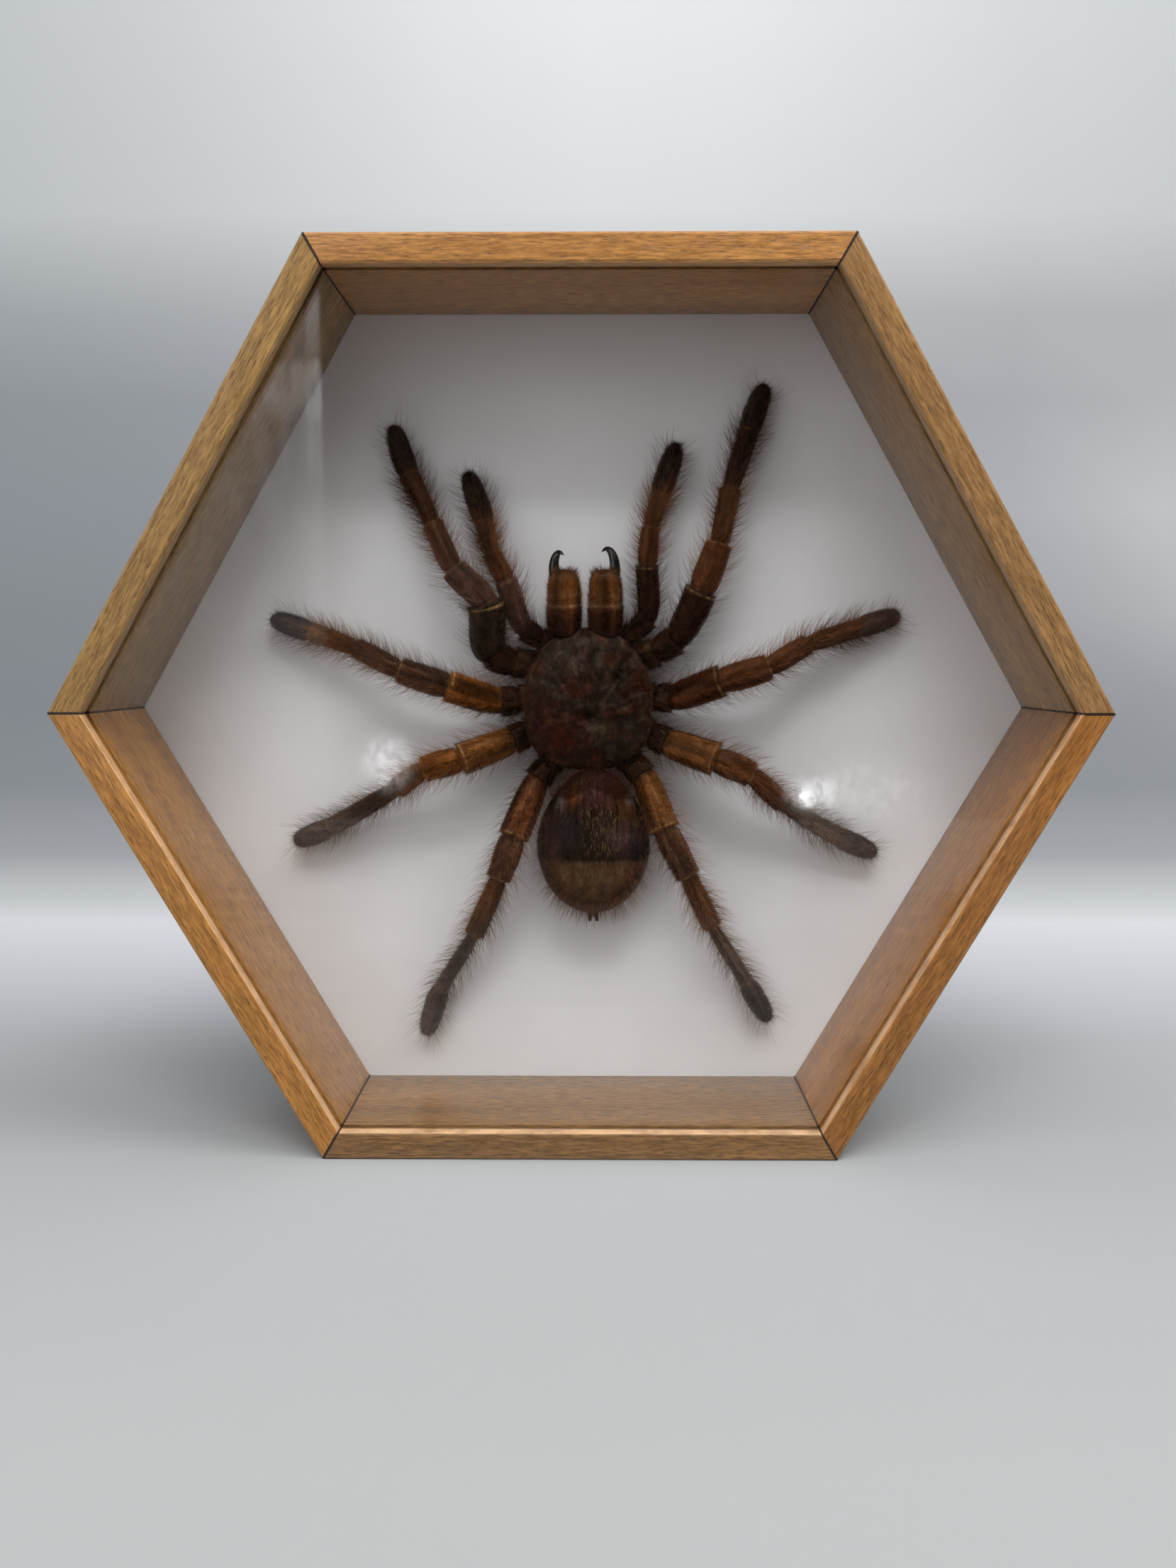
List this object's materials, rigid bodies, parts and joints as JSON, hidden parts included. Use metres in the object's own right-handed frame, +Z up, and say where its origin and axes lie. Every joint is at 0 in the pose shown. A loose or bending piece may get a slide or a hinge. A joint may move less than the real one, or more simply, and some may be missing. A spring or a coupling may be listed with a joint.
{
  "type": "framed tarantula specimen",
  "caption": "Large dried tarantula with spread legs, mounted on a white board in a deep hexagonal wooden shadow box with a glass front.",
  "frame": {"origin": "middle of the underside of the bottom rail, halfway through the depth of the box", "axes": "+X runs along the bottom rail towards the right side as seen from the glass, +Y points from the glass to the back panel, +Z points up"},
  "size_m": [0.2398, 0.048, 0.2078],
  "materials": {
    "wood": "golden brown hardwood, oiled, satin",
    "glass": "clear, polished",
    "board": "smooth white, satin",
    "panel": "plain brown hardboard, matte",
    "steel": "zinc plated",
    "cuticle": "dry hairy cuticle, dark brown to rust, matte with a dull gleam",
    "fang": "black, glossy"
  },
  "bodies": {
    "root": {"rail_top": "wood", "rail_upper_right": "wood", "rail_lower_right": "wood", "rail_bottom": "wood", "rail_lower_left": "wood", "rail_upper_left": "wood", "glass_pane": "glass", "backing_board": "board", "back_panel": "panel", "framers_point_top": "steel", "framers_point_upper_right": "steel", "framers_point_lower_right": "steel", "framers_point_bottom": "steel", "framers_point_lower_left": "steel", "framers_point_upper_left": "steel", "sawtooth_hanger": "steel", "hanger_nail_left": "steel", "hanger_nail_right": "steel", "carapace": "cuticle", "sternum": "cuticle", "pedicel": "cuticle", "abdomen": "cuticle", "spinnerets": "cuticle", "chelicera_left": "cuticle", "chelicera_right": "cuticle", "fang_left": "fang", "fang_right": "fang", "pedipalp_left": "cuticle", "pedipalp_right": "cuticle", "leg_1_left": "cuticle", "leg_1_right": "cuticle", "leg_2_left": "cuticle", "leg_2_right": "cuticle", "leg_3_left": "cuticle", "leg_3_right": "cuticle", "leg_4_left": "cuticle", "leg_4_right": "cuticle"}
  },
  "joints": []
}
